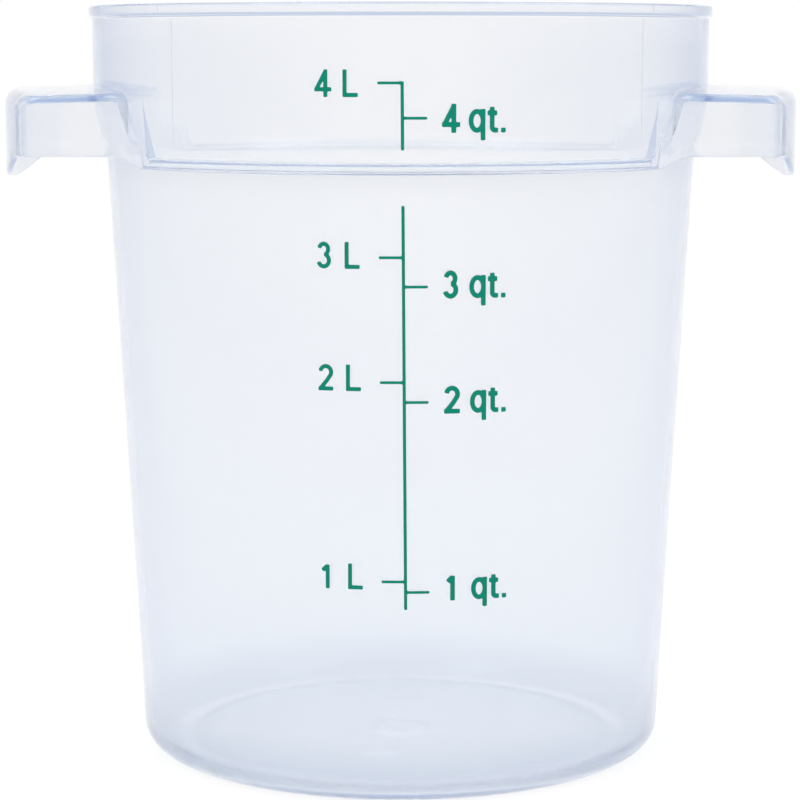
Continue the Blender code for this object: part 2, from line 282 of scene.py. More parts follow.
@dataclass(frozen=True)
class StationCounts:
    """How many stations each stretch of a quarter of the tub gets."""

    end: int = 16
    corner: int = 8
    side: int = 10
    flare: int = 14
    pocket: int = 5
    web_step: float = radians(0.12)
    plain: int = 34


class Stations:
    """The places round a quarter of the tub at which its section is taken.

    Each station has a point on the handle's outer outline in plan, the direction outwards there,
    and the azimuth at which the tub's own wall is cut. Past the handle the outline is the collar's.
    """

    def __init__(self, form: TubForm, counts: StationCounts) -> None:
        """Lays the stations out from +X to +Y.

        Args:
            form: the tub's sizes.
            counts: how many stations each stretch gets.
        """
        self.form = form
        reach, half = form.handle_reach, form.handle_half_width
        corner, flare = form.handle_corner, form.handle_flare
        collar = form.collar_radius(form.handle_top_z)
        corner_x = sqrt((reach - corner) ** 2 - (half - corner) ** 2)
        corner_turn = asin((half - corner) / (reach - corner))
        flare_x = sqrt((collar + flare) ** 2 - (half + flare) ** 2)
        end = up_to(0, corner_turn, counts.end)
        bend = up_to(corner_turn, pi / 2, counts.corner)
        side_x = up_to(corner_x, flare_x, counts.side)
        curl = up_to(-pi / 2, form.flare_angle - pi, counts.flare)
        web_half = form.web_blend / collar
        web_from, web_to = form.pocket_angle - web_half, form.web_angle + web_half
        pocket = up_to(form.flare_angle, web_from, counts.pocket)
        web = up_to(web_from, web_to, round((web_to - web_from) / counts.web_step))
        plain = np.linspace(web_to, pi / 2, counts.plain)
        turns = np.concatenate([pocket, web, plain])
        self.outline = np.concatenate([
            reach * unit(end),
            np.array([corner_x, half - corner]) + corner * unit(bend),
            np.stack([side_x, np.full_like(side_x, half)], 1),
            np.array([flare_x, half + flare]) + flare * unit(curl),
            collar * unit(turns),
        ])
        self.normal = np.concatenate([
            unit(end), unit(bend), np.tile([0.0, 1.0], (len(side_x), 1)), -unit(curl), unit(turns),
        ])
        along = (self.outline * self.normal).sum(1)
        inside = along**2 - (self.outline**2).sum(1) + collar**2
        to_side = np.ones(len(along))
        to_side[:counts.end] = 0
        to_side[counts.end:counts.end + counts.corner] = up_to(0, 1, counts.corner)
        self.fold = form.handle_fold + (form.handle_side_fold - form.handle_fold) * to_side
        meets = np.where(inside > 0, along - np.sqrt(np.maximum(inside, 0)), self.fold)
        beside = slice(-len(turns), None)
        self.past = np.clip(meets, 0, self.fold)
        self.past[beside] = 0
        fold_in = self.outline - self.normal * self.past[:, None]
        self.azimuth = np.arctan2(fold_in[:, 1], fold_in[:, 0])
        self.azimuth[beside] = turns
        self.azimuth[0] = 0
        self.plate = np.maximum(np.hypot(*fold_in.T) - collar, 0)
        self.plate[beside] = 0
        self.count = len(self.azimuth)

    def ring(self, radius: Row | float, z: Row | float) -> Row:
        """A row of points on the tub's own wall."""
        turned = unit(self.azimuth) * np.broadcast_to(radius, self.count)[:, None]
        return np.column_stack([turned, np.broadcast_to(z, self.count)])

    def hood(self, inset: Row | float, z: Row | float) -> Row:
        """A row of points inside the handle's outline by inset. Lower down the outline draws in.

        Args:
            inset: how far inside the outline, at the height of the handle's top.
            z: height of the row, or of each of its points.

        Returns:
            The row of points.
        """
        drawn = inset + (self.form.handle_top_z - z) * tan(self.form.collar_draft)
        plan = self.outline - self.normal * np.broadcast_to(drawn, self.count)[:, None]
        return np.column_stack([plan, np.broadcast_to(z, self.count)])


class Loft:
    """Rows of points, each running round the same stations, that become one closed surface.

    A place is a row of points, or a radius and a height on the tub's own wall.
    """

    def __init__(self, at: Stations, first: Place) -> None:
        """Starts with one row."""
        self.at = at
        self.rows = [self.row(first)]

    def row(self, place: Place) -> Row:
        """The row of points at a place."""
        return self.at.ring(*place) if isinstance(place, tuple) else place

    def add(self, place: Place) -> None:
        """Adds one row."""
        self.rows.append(self.row(place))

    def line(self, end: Place, steps: int) -> None:
        """Adds evenly spaced rows up to end.

        Args:
            end: the last of the rows.
            steps: how many rows.
        """
        start, end = self.rows[-1], self.row(end)
        for i in range(1, steps + 1):
            self.add(start + (end - start) * (i / steps))

    def bend(self, corner: Place, end: Place, steps: int) -> None:
        """Adds rows that round a corner on the way to end.

        Args:
            corner: the corner that is rounded off.
            end: the last of the rows.
            steps: how many rows.
        """
        start, corner, end = self.rows[-1], self.row(corner), self.row(end)
        for i in range(1, steps + 1):
            t = i / steps
            self.add(start * (1 - t) ** 2 + corner * 2 * t * (1 - t) + end * t**2)

    def arc(self, centre: tuple[float, float], radius: float, turns: tuple[float, float],
            steps: int) -> None:
        """Adds rows on an arc of the wall between two angles, past the first."""
        for turn in np.linspace(*turns, steps + 1)[1:]:
            self.add((centre[0] + radius * cos(turn), centre[1] + radius * sin(turn)))


@dataclass(frozen=True)
class RowCounts:
    """How many rows each stretch of the section gets."""

    floor: int = 8
    corner: int = 8
    wall: int = 14
    fillet: int = 5
    short: int = 3
    plate: int = 6
    fold: int = 8
    skirt: int = 5
    leaning: int = 8
    underside: int = 6
    marked: int = 18


class TubMoulding:
    """The whole moulding: floor, body, ledge, collar, rim and both channel handles."""

    def __init__(self, form: TubForm) -> None:
        """Keeps the sizes and lays out the stations.

        Args:
            form: the tub's sizes.
        """
        self.form = form
        self.stations = Stations(form, StationCounts())
        self.counts = RowCounts()

    def build(self) -> bpy.types.Object:
        """Builds the moulding as one closed mesh.

        Returns:
            The mesh object, at the origin.
        """
        form = self.form
        around = self.mark_base(self.all_round(np.array(self.section())))
        base_centre = (0, 0, form.foot_rise + form.gate_depth)
        return grid_object("tub_moulding", around, (0, 0, form.floor_z), base_centre)

    def section(self) -> list[Row]:
        """The rows of one quarter, from the floor's middle over the rim to the base's middle.

        Returns:
            The rows, in order.
        """
        form, at = self.form, self.stations
        loft = Loft(at, (form.gate_radius / 2, form.floor_z))
        for stretch in (self.inside, self.rim, self.handle_over, self.handle_under, self.base):
            stretch(loft)
        LOG.info("section: %d rows, %d stations a quarter", len(loft.rows), at.count)
        return loft.rows

    def corner_centre(self, offset: float, floor_z: float, radius: float) -> tuple[float, float]:
        """Centre of the arc between a floor and the wall moved in by offset: radius and height.

        Args:
            offset: how far the wall is inside the body's outside.
            floor_z: height of the floor.
            radius: the arc's radius.

        Returns:
            The centre's radius and height.
        """
        draft = self.form.body_draft
        touch_z = floor_z + radius * (1 - sin(draft))
        return self.form.body_radius(touch_z) - offset - radius * cos(draft), floor_z + radius

    def inside(self, loft: Loft) -> None:
        """Adds the floor, the inner wall, and the ledge or, behind a handle, the leaning wall.

        Args:
            loft: the rows so far, which end on the floor.
        """
        form, counts = self.form, self.counts
        wall, rounding = form.wall, form.ledge_round
        corner = form.base_corner - wall
        centre = self.corner_centre(wall, form.floor_z, corner)
        loft.line((centre[0], form.floor_z), counts.floor)
        loft.arc(centre, corner, (-pi / 2, -form.body_draft), counts.corner)
        behind = step_down(self.stations.azimuth, form.web_angle, form.web_blend / form.rim_radius)

        def blend(plain: Place, ramp: Place) -> Place:
            """A place on the plain wall, or on the leaning one behind a handle."""
            return tuple(a + (b - a) * behind for a, b in zip(plain, ramp))

        def body(z: float) -> tuple[float, float]:
            """A place on the inside of the body."""
            return form.body_radius(z) - wall, z

        def collar(z: float) -> tuple[float, float]:
            """A place on the inside of the collar."""
            return form.collar_radius(z) - wall, z

        shelf_z, head_z = form.ledge_top_z, form.ramp_top_z
        foot, head = np.array(body(shelf_z)), np.array(collar(head_z))
        lean = (head - foot) / np.hypot(*(head - foot)) * 2 * rounding
        loft.line(body(form.body_top_z), counts.wall)
        loft.line(blend(body(shelf_z - rounding), body(shelf_z - 2 * rounding)), counts.short)
        shelf_in = (foot[0] + rounding, shelf_z)
        loft.bend(blend(foot, foot), blend(shelf_in, foot + lean), counts.fillet)
        shelf_out = (collar(shelf_z)[0] - rounding, shelf_z)
        loft.line(blend(shelf_out, head - lean), counts.leaning)
        risen = blend(collar(shelf_z + rounding), collar(head_z + 2 * rounding))
        loft.bend(blend(collar(shelf_z), head), risen, counts.fillet)
        loft.line(collar(form.handle_top_z), counts.leaning)
        loft.line(collar(form.height - form.mouth_depth), counts.short)

    def rim(self, loft: Loft) -> None:
        """Adds the opening mouth, the flat rim and the bead outside it.

        Args:
            loft: the rows so far, which end inside the collar.
        """
        form, counts = self.form, self.counts
        top, outer, rounding, edge = form.height, form.rim_radius, form.bead_round, form.bead_edge
        mouth = form.collar_radius(top - form.mouth_depth) - form.wall + form.mouth_flare
        under = top - form.bead_depth
        below = under - form.bead_reach
        neck = form.collar_radius(below)
        loft.line((mouth, top - rounding), counts.short)
        loft.bend((mouth, top), (mouth + rounding, top), counts.fillet)
        loft.line((outer - rounding, top), counts.short)
        loft.bend((outer, top), (outer, top - rounding), counts.fillet)
        loft.line((outer, under + edge), counts.short)
        loft.bend((outer, under), (outer - edge, under - edge), counts.short)
        loft.line((neck + edge, below + edge), 1)
        loft.bend((neck, below), (form.collar_radius(below - edge), below - edge), counts.short)

    def handle_over(self, loft: Loft) -> None:
        """Adds the collar's outside, the handle's top plate, its fold and its skirt's outside.

        Args:
            loft: the rows so far, which end under the bead.
        """
        form, at, counts = self.form, self.stations, self.counts
        fold = at.fold
        from_turn = np.arcsin(np.clip(1 - at.past / fold, 0, 1))
        whole = at.plate + fold * (pi / 2 - from_turn)
        collar_r = form.collar_radius(form.handle_top_z)
        collar_top = form.handle_top(*(collar_r * unit(at.azimuth)).T)
        corner_z = collar_top - fold * (1 - np.cos(from_turn))
        rounding = np.minimum(form.inner_round, form.round_share * whole)

        def over(distance: Row) -> Row:
            """Points at a distance along the plate and round the fold.

            Args:
                distance: how far each point is from the collar.

            Returns:
                The row of points.
            """
            turn = from_turn + np.maximum(distance - at.plate, 0) / fold
            inset = fold * (1 - np.sin(turn))
            edge = at.hood(inset, form.handle_top_z)
            z = form.handle_top(*edge[:, :2].T) - fold * (1 - np.cos(turn))
            plate = at.ring(collar_r + np.minimum(distance, at.plate), 0)
            plate[:, 2] = form.handle_top(*plate[:, :2].T)
            return np.where((distance < at.plate)[:, None], plate, at.hood(inset, z))

        start_z = corner_z + rounding
        loft.line((form.collar_radius(start_z), start_z), counts.skirt + counts.short)
        loft.bend((form.collar_radius(corner_z), corner_z), over(rounding), counts.fillet)
        plate_end = np.maximum(at.plate, rounding)
        stretches = (rounding, plate_end, counts.plate), (plate_end, whole, counts.fold)
        for start, end, steps in stretches:
            for i in range(1, steps + 1):
                loft.add(over(start + (end - start) * i / steps))
        loft.line(at.hood(0.0, self.lower_edge() + form.skirt_edge), counts.skirt)

    def lower_edge(self) -> Row:
        """Height of the lower edge: drip skirt, slope up to the handle, and the end's tongue.

        Returns:
            One height for each station.
        """
        form, at = self.form, self.stations
        x, y = at.outline.T
        under_r = form.collar_radius(form.handle_under_z)
        notch_x = sqrt(under_r**2 - form.handle_half_width**2) + form.skirt_wall
        rise = form.handle_under_z - form.skirt_z
        ease = rise * form.notch_ease
        sloping = form.skirt_z + (x - notch_x + form.notch_length) * rise / form.notch_length
        level = soft_max(form.skirt_z, soft_min(sloping, form.handle_under_z, ease), ease)
        tongue_half = form.handle_half_width - form.tongue_setback
        radius = (tongue_half**2 + form.tongue_drop**2) / (2 * form.tongue_drop)
        tongue = form.handle_under_z - form.tongue_drop + radius - np.sqrt(radius**2 - y**2)
        return soft_min(level, tongue, ease)

    def handle_under(self, loft: Loft) -> None:
        """Adds the skirt's edge and inside, the channel's roof, and the wall below it.

        Args:
            loft: the rows so far, which end outside the skirt.
        """
        form, at, counts = self.form, self.stations, self.counts
        edge, wall, foot = form.skirt_edge, form.skirt_wall, self.lower_edge()
        loft.bend(at.hood(0.0, foot), at.hood(edge, foot), counts.short)
        loft.line(at.hood(wall - edge, foot), 1)
        loft.bend(at.hood(wall, foot), at.hood(wall, foot + edge), counts.short)
        behind = step_down(at.azimuth, form.pocket_angle, form.web_blend / form.rim_radius)
        foot_r, foot_z, head_r, head_z = form.lean()
        inner = np.hypot(*at.hood(wall, form.ledge_under_z)[:, :2].T) - form.pocket_gap
        rise = (head_z - foot_z) / (head_r - foot_r)
        steeper = np.where(inner < head_r, 1.0, form.pocket_steeper)
        closes = head_z + (inner - head_r) * steeper * rise

        def roof(row: Row) -> Row:
            """Height of the channel's roof, or of the ledge's underside past the pocket.

            Args:
                row: the points that lie under the plate.

            Returns:
                One height for each point.
            """
            under_plate = form.handle_top(*row[:, :2].T) - form.handle_plate
            pocket = soft_min(under_plate, closes, form.skirt_drop)
            return form.ledge_under_z + (pocket - form.ledge_under_z) * behind

        roof_out = roof(at.hood(wall, form.handle_top_z))
        roof_in = roof(at.ring(form.outer_wall(roof_out, behind), roof_out))
        wall_in = at.ring(form.outer_wall(roof_in, behind), roof_in)
        corner_out = at.hood(wall, roof_out)
        gap = np.hypot(*(wall_in - corner_out)[:, :2].T)
        fold_in = np.clip(at.fold - wall, form.inner_round, form.round_share * gap)
        rounding = np.minimum(form.inner_round, form.round_share * gap)
        across = (wall_in - corner_out) / gap[:, None]
        loft.line(at.hood(wall, roof_out - fold_in), counts.skirt)
        loft.bend(corner_out, corner_out + across * fold_in[:, None], counts.fillet)
        loft.line(wall_in - across * rounding[:, None], counts.short)
        below = roof_in - rounding
        loft.bend(wall_in, (form.outer_wall(below, behind), below), counts.fillet)
        for i in range(1, counts.leaning + 1):
            z = below + (form.body_top_z - below) * i / counts.leaning
            loft.add((form.outer_wall(z, behind), z))

    def base(self, loft: Loft) -> None:
        """Adds the body's outside, the base's corner, the standing ring and the underside.

        Args:
            loft: the rows so far, which end under the ledge.
        """
        form, counts = self.form, self.counts
        centre = self.corner_centre(0, 0, form.base_corner)
        touch_z = centre[1] - form.base_corner * sin(form.body_draft)
        loft.line((form.body_radius(touch_z), touch_z), counts.wall)
        loft.arc(centre, form.base_corner, (-form.body_draft, -pi / 2), counts.corner)
        foot_in, edge, rise = centre[0] - form.foot_width, form.foot_edge, form.foot_rise
        loft.line((foot_in + edge, 0), counts.short)
        loft.bend((foot_in, 0), (foot_in - rise / 2, rise / 2), counts.short)
        loft.bend((foot_in - rise, rise), (foot_in - rise - edge, rise), counts.short)
        mark_r = sqrt(form.mark_x**2 + form.mark_y**2)
        spread = form.mark_radius + 2 * form.mark_edge
        loft.line((mark_r + spread, rise), counts.underside)
        loft.line((mark_r - spread, rise), counts.marked)
        gate, deep = form.gate_radius, rise + form.gate_depth
        dimple = gate - form.gate_depth
        loft.line((gate + edge, rise), counts.short)
        loft.bend((gate, rise), (gate - edge, rise + edge), counts.short)
        loft.bend((dimple, deep), (dimple - edge, deep), counts.short)
        loft.line((gate / 4, deep), counts.short)

    @staticmethod
    def all_round(rows: Row) -> Row:
        """Mirrors a quarter's rows over both upright planes.

        Args:
            rows: rows by stations by 3, from +X to +Y.

        Returns:
            The same rows run once round the tub.
        """
        back = rows[:, ::-1] * (-1, 1, 1)
        half = np.concatenate([rows, back[:, 1:]], 1)
        front = half[:, ::-1] * (1, -1, 1)
        return np.concatenate([half, front[:, 1:-1]], 1)

    def mark_base(self, around: Row) -> Row:
        """Presses the round mould mark into the underside.

        Args:
            around: rows that run once round, whose points are moved.

        Returns:
            The same rows.
        """
        form = self.form
        away = np.hypot(around[..., 0] - form.mark_x, around[..., 1] - form.mark_y)
        press = step_down(away, form.mark_radius, form.mark_edge) * form.mark_depth
        under = np.abs(around[..., 2] - form.foot_rise) < WELD
        around[..., 2] += np.where(under, press, 0)
        return around


def grid_object(name: str, around: Row, first_pole: tuple, last_pole: tuple) -> bpy.types.Object:
    """Makes a closed mesh from rows that each run once round, and a pole at either end.

    Args:
        name: the object's name.
        around: rows by columns by 3.
        first_pole: the point that closes the first row.
        last_pole: the point that closes the last row.

    Returns:
        The mesh object, shaded smooth.
    """
    rows, columns = around.shape[:2]
    points = np.concatenate([around.reshape(-1, 3), [first_pole, last_pole]])
    index = np.arange(rows * columns).reshape(rows, columns)
    near, far = index[:-1], index[1:]
    quads = np.stack([near, far, np.roll(far, -1, 1), np.roll(near, -1, 1)], -1).reshape(-1, 4)
    start, end = rows * columns, rows * columns + 1
    first, last = index[0], index[-1]
    fan_in = [(start, int(a), int(b)) for a, b in zip(first, np.roll(first, -1))]
    fan_out = [(end, int(b), int(a)) for a, b in zip(last, np.roll(last, -1))]
    mesh = bpy.data.meshes.new(name)
    mesh.from_pydata(points.tolist(), [], quads.tolist() + fan_in + fan_out)
    return tidy_object(name, mesh)


def tidy_object(name: str, mesh: bpy.types.Mesh) -> bpy.types.Object:
    """A new object with the mesh, its doubled points welded, faces without area dropped, smooth.

    Args:
        name: the object's name.
        mesh: the mesh, which is changed.

    Returns:
        The object, at the origin.
    """
    bm = bmesh.new()
    bm.from_mesh(mesh)
    bmesh.ops.remove_doubles(bm, verts=bm.verts, dist=WELD)
    bmesh.ops.dissolve_degenerate(bm, dist=WELD, edges=bm.edges)
    bm.to_mesh(mesh)
    bm.free()
    mesh.shade_smooth()
    return link_object(name, mesh)


def link_object(name: str, data: bpy.types.ID) -> bpy.types.Object:
    """A new object in the scene, round this mesh, lamp or camera.

    Args:
        name: the object's name.
        data: the mesh, lamp or camera.

    Returns:
        The object, at the origin.
    """
    obj = bpy.data.objects.new(name, data)
    bpy.context.scene.collection.objects.link(obj)
    return obj


@dataclass(frozen=True)
class Mark:
    """One mark: its figure, its side, its height as a share, and how far its foot is below."""

    figure: int
    hand: Hand
    height_share: float
    drop: float


@dataclass(frozen=True)
class Lettering:
    """How the figures and the unit of one side are set, with places from the printed stroke."""

    word: str
    unit: str
    height: float
    pen: float
    figure_left: float
    sign_lefts: tuple[float, ...]
    drift: float


@dataclass(frozen=True)
class PrintForm:
    """Sizes of the printed scale, and its heights as shares of the wall that it is on.

    A tick starts inside the stroke, with a short swell. Its sizes are shares of half the stroke's
    width. Each line of a path runs on past a bend by lap, a share of half the pen.
    """

    stroke: float = 0.00088
    tick_reach: float = 0.0066
    tick_root: float = 0.6
    tick_half: float = 0.86
    swell_reach: float = 1.5
    swell_half: float = 1.25
    lap: float = 0.35
    offset: float = 0.0004
    lean: float = 0.0010
    lift: float = 0.00002
    film: float = 0.00004
    bleed: float = 0.00012
    grain: float = 0.00014
    overlap: float = 0.000005
    blank: float = 0.0088
    sharp_over: float = radians(40)
    collar_foot_share: float = 0.146
    body_line_shares: tuple[float, float] = (0.953, 0.321)
    litre: Lettering = Lettering(
        word="litre", unit="L", height=0.0073, pen=0.00112,
        figure_left=-0.0236, sign_lefts=(-0.0159,), drift=0.0,
    )
    quart: Lettering = Lettering(
        word="quart", unit="qt.", height=0.0077, pen=0.00132,
        figure_left=0.0105, sign_lefts=(0.0177, 0.0229, 0.0267), drift=0.0006,
    )
    collar_marks: tuple[Mark, ...] = (
        Mark(4, Hand.LEFT, 0.535, 0.00375), Mark(4, Hand.RIGHT, 0.332, 0.0039),
    )
    body_marks: tuple[Mark, ...] = (
        Mark(3, Hand.LEFT, 0.874, 0.0031), Mark(3, Hand.RIGHT, 0.829, 0.00325),
        Mark(2, Hand.LEFT, 0.681, 0.00245), Mark(2, Hand.RIGHT, 0.650, 0.0032),
        Mark(1, Hand.LEFT, 0.366, 0.0023), Mark(1, Hand.RIGHT, 0.349, 0.0025),
    )


class Glyphs:
    """Plain condensed figures and letters as pen strokes, in a box of width by height.

    Each sign's width and height, with its ink, are shares of the figures' height. The corners of
    its path, which the pen's middle follows, are shares of its own width and height.
    """

    WIDTH_SHARES = {"1": 0.34, "2": 0.57, "3": 0.54, "4": 0.64,
                    "L": 0.565, "q": 0.60, "t": 0.385, ".": 0.155}
    HEIGHT_SHARES = {"q": 0.82, "t": 0.975, ".": 0.19}

    @staticmethod
    def bow(cx: float, cy: float, a: float, b: float, start: float, end: float,
            steps: int = 14) -> Path:
        """Points on part of an ellipse with half axes a and b, with angles in degrees."""
        turns = np.radians(np.linspace(start, end, steps + 1))
        return [(cx + a * cos(t), cy + b * sin(t)) for t in turns]

    @classmethod
    def paths(cls, sign: str, w: float, h: float, pen: float) -> list[Path]:
        """The strokes of one sign.

        Args:
            sign: one of the figures 1 to 4, L, q, t or a full stop.
            w: width of the box of the pen's middle.
            h: height of that box, from the baseline.
            pen: half the pen's width, by which a stroke runs past a corner.

        Returns:
            The paths, each a list of points.
        """
        if sign == "1":
            return [[(w, -pen), (w, h)], [(w, h - 0.4 * pen), (-0.1 * w, h * 0.73)]]
        if sign == "2":
            top = cls.bow(w / 2, h * 0.74, w / 2, h * 0.26, 172, -28)
            neck = [(w * 0.60, h * 0.36), (w * 0.16, h * 0.10), (0, 0)]
            return [top + neck, [(-pen, 0), (w + pen, 0)]]
        if sign == "3":
            upper = cls.bow(w * 0.48, h * 0.755, w * 0.44, h * 0.245, 168, -82)
            lower = cls.bow(w * 0.48, h * 0.27, w * 0.52, h * 0.27, 84, -166)
            return [upper, lower]
        if sign == "4":
            stem, bar = w * 0.70, h * 0.24
            upright, slope = [(stem, -pen), (stem, h + pen)], [(stem, h), (0, bar)]
            return [upright, slope, [(-pen, bar), (w + pen, bar)]]
        if sign == "L":
            return [[(0, h + pen), (0, -pen)], [(-pen, 0), (w + pen, 0)]]
        if sign == "q":
            bowl = cls.bow(w / 2, h / 2, w / 2, h / 2, 0, 360, 28)
            return [bowl, [(w, h + pen), (w, -h * 0.54)]]
        if sign == "t":
            stem = w * 0.38
            hook = cls.bow(stem + w * 0.50, h * 0.13, w * 0.50, h * 0.13, 180, 270)
            bar = [(-pen, h * 0.74), (w + pen * 0.6, h * 0.74)]
            return [[(stem, h)] + hook + [(w + pen, 0)], bar]
        return [[(0, -pen), (0, pen)]]


class Artwork:
    """Flat ink artwork, in width and height: strokes of a pen, bled a little at their corners."""

    def __init__(self, form: PrintForm) -> None:
        """Starts with a blank sheet."""
        self.form = form
        self.bars: list[tuple[float, float, float, float, float]] = []

    def stroke(self, path: Path, half: float) -> None:
        """Draws along a path with a pen of half width half; ends are cut square.

        Args:
            path: the points that the pen's middle follows.
            half: half the pen's width.
        """
        for i, (start, end) in enumerate(zip(path, path[1:])):
            (x0, y0), (x1, y1) = start, end
            dx, dy = x1 - x0, y1 - y0
            lap = self.form.lap * half / sqrt(dx**2 + dy**2)
            back = lap if i > 0 else 0
            on = lap if i < len(path) - 2 else 0
            self.bars.append((x0 - dx * back, y0 - dy * back, x1 + dx * on, y1 + dy * on, half))

    def sign(self, sign: str, left: float, foot: float, style: Lettering) -> None:
        """Draws one sign with its ink's lower left corner at this place.

        Args:
            sign: the figure or letter.
            left: left end of its ink.
            foot: its baseline.
            style: how this side's signs are set.
        """
        half = style.pen / 2
        width = style.height * Glyphs.WIDTH_SHARES[sign] - style.pen
        height = style.height * Glyphs.HEIGHT_SHARES.get(sign, 1.0) - style.pen
        for path in Glyphs.paths(sign, width, height, half):
            self.stroke([(left + half + x, foot + half + y) for x, y in path], half)

    def field(self, xs: Row, ys: Row) -> Row:
        """Signed distance to the ink at every point of a grid, below zero in the ink.

        Args:
            xs: places of the grid's columns.
            ys: places of its rows.

        Returns:
            The distances, by column and row.
        """
        x, y = np.meshgrid(xs, ys, indexing="ij")
        best = np.full(x.shape, self.form.blank)
        for x0, y0, x1, y1, half in self.bars:
            length = sqrt((x1 - x0) ** 2 + (y1 - y0) ** 2)
            ux, uy = (x1 - x0) / length, (y1 - y0) / length
            along = np.abs((x - x0) * ux + (y - y0) * uy - length / 2) - length / 2
            across = np.abs((y - y0) * ux - (x - x0) * uy) - half
            outside = np.hypot(np.maximum(along, 0), np.maximum(across, 0))
            best = np.minimum(best, outside + np.minimum(np.maximum(along, across), 0))
        return blurred(best, self.form.bleed / self.form.grain)

    def flat_mesh(self, name: str) -> bpy.types.Mesh:
        """The ink as a flat mesh in X and Z, facing -Y.

        Args:
            name: the mesh's name.

        Returns:
            The mesh.
        """
        step = self.form.grain
        ends = np.array([(b[0], b[1]) for b in self.bars] + [(b[2], b[3]) for b in self.bars])
        margin = max(b[4] for b in self.bars) + 4 * step
        low, high = ends.min(0) - margin, ends.max(0) + margin
        xs = np.arange(low[0], high[0] + step, step)
        ys = np.arange(low[1], high[1] + step, step)
        return cut_cells(name, xs, ys, self.field(xs, ys))


def blurred(values: Row, reach: float) -> Row:
    """A grid of values smoothed both ways by a bell curve of that reach, in cells.

    Args:
        values: the grid.
        reach: the curve's standard deviation, in cells.

    Returns:
        The smoothed grid.
    """
    span = max(1, round(BELL_REACHES * reach))
    weights = np.exp(-0.5 * (np.arange(-span, span + 1) / reach) ** 2)
    weights /= weights.sum()
    for axis in (0, 1):
        margins = [(span, span) if side == axis else (0, 0) for side in (0, 1)]
        padded = np.pad(values, margins, mode="edge")
        size = values.shape[axis]
        values = sum(w * np.take(padded, range(i, i + size), axis) for i, w in enumerate(weights))
    return values


def cut_cells(name: str, xs: Row, ys: Row, field: Row) -> bpy.types.Mesh:
    """Keeps the part of each cell of a grid where the field is below zero.

    Args:
        name: the mesh's name.
        xs: places of the grid's columns, along X.
        ys: places of its rows, along Z.
        field: one value at each crossing.

    Returns:
        A flat mesh facing -Y.
    """
    points: list[tuple[float, float, float]] = []
    known: dict[tuple, int] = {}

    def point(key: tuple, x: float, y: float) -> int:
        """The number of a point, which is made the first time.

        Args:
            key: the crossing, or the pair of crossings that it lies between.
            x: its place along X.
            y: its height.

        Returns:
            The number.
        """
        if key not in known:
            known[key] = len(points)
            points.append((x, 0.0, y))
        return known[key]

    faces = []
    inside = field < 0
    touched = inside[:-1, :-1] | inside[1:, :-1] | inside[:-1, 1:] | inside[1:, 1:]
    for i, j in zip(*np.nonzero(touched)):
        ring = [(i, j), (i + 1, j), (i + 1, j + 1), (i, j + 1)]
        face = []
        for a, b in zip(ring, ring[1:] + ring[:1]):
            if inside[a]:
                face.append(point((a,), xs[a[0]], ys[a[1]]))
            if inside[a] != inside[b]:
                t = field[a] / (field[a] - field[b])
                x = xs[a[0]] + t * (xs[b[0]] - xs[a[0]])
                y = ys[a[1]] + t * (ys[b[1]] - ys[a[1]])
                face.append(point((min(a, b), max(a, b)), x, y))
        if len(face) > 2:
            faces.append(face)
    mesh = bpy.data.meshes.new(name)
    mesh.from_pydata(points, [], faces)
    return mesh


class Nodes:
    """A node tree under construction. An input is a value or another node's output."""

    def __init__(self, tree: bpy.types.NodeTree) -> None:
        """Works on this tree."""
        self.tree = tree

    def feed(self, where: Socket, value: object) -> None:
        """Gives one input its value, or joins it to an output.

        Args:
            where: the input.
            value: the value, or the output.
        """
        if isinstance(value, bpy.types.NodeSocket):
            self.tree.links.new(value, where)
        else:
            where.default_value = value

    def set(self, node: bpy.types.Node, **inputs: object) -> None:
        """Feeds a node's inputs, named with _ for a space."""
        for key, value in inputs.items():
            self.feed(node.inputs[key.replace("_", " ")], value)

    def node(self, kind: str, settings: dict | None = None, **inputs: object) -> bpy.types.Node:
        """Adds a node with these settings and inputs.

        Args:
            kind: the node's type.
            settings: its properties, by name.
            inputs: its inputs, named with _ for a space.

        Returns:
            The node.
        """
        made = self.tree.nodes.new(kind)
        for key, value in (settings or {}).items():
            setattr(made, key, value)
        self.set(made, **inputs)
        return made

    def out(self, kind: str, output: str, settings: dict | None = None, **inputs: object) -> Socket:
        """Adds a node and gives one of its outputs."""
        return self.node(kind, settings, **inputs).outputs[output]

    def axes(self, vector: Socket) -> bpy.types.bpy_prop_collection:
        """X, Y and Z of a vector, by name."""
        return self.node("ShaderNodeSeparateXYZ", Vector=vector).outputs

    def math(self, operation: str, *values: object) -> Socket:
        """Works out one value from others, each a number or an output.

        Args:
            operation: what the node works out.
            values: its inputs, in order.

        Returns:
            The result.
        """
        made = self.node("ShaderNodeMath", {"operation": operation})
        for where, value in zip(made.inputs, values):
            self.feed(where, value)
        return made.outputs["Value"]

    def span(self, value: Socket, start: float, end: float, low: float = 0.0, high: float = 1.0,
             kind: str = "LINEAR") -> Socket:
        """Low where the value is start, high where it is end, and between them in between."""
        return self.out("ShaderNodeMapRange", "Result", {"interpolation_type": kind}, Value=value,
                        From_Min=start, From_Max=end, To_Min=low, To_Max=high)

    def mix(self, share: Socket, a: object, b: object) -> Socket:
        """Colour a where the share is 0, b where it is 1."""
        return self.out("ShaderNodeMix", "Result", {"data_type": "RGBA"}, Factor=share, A=a, B=b)


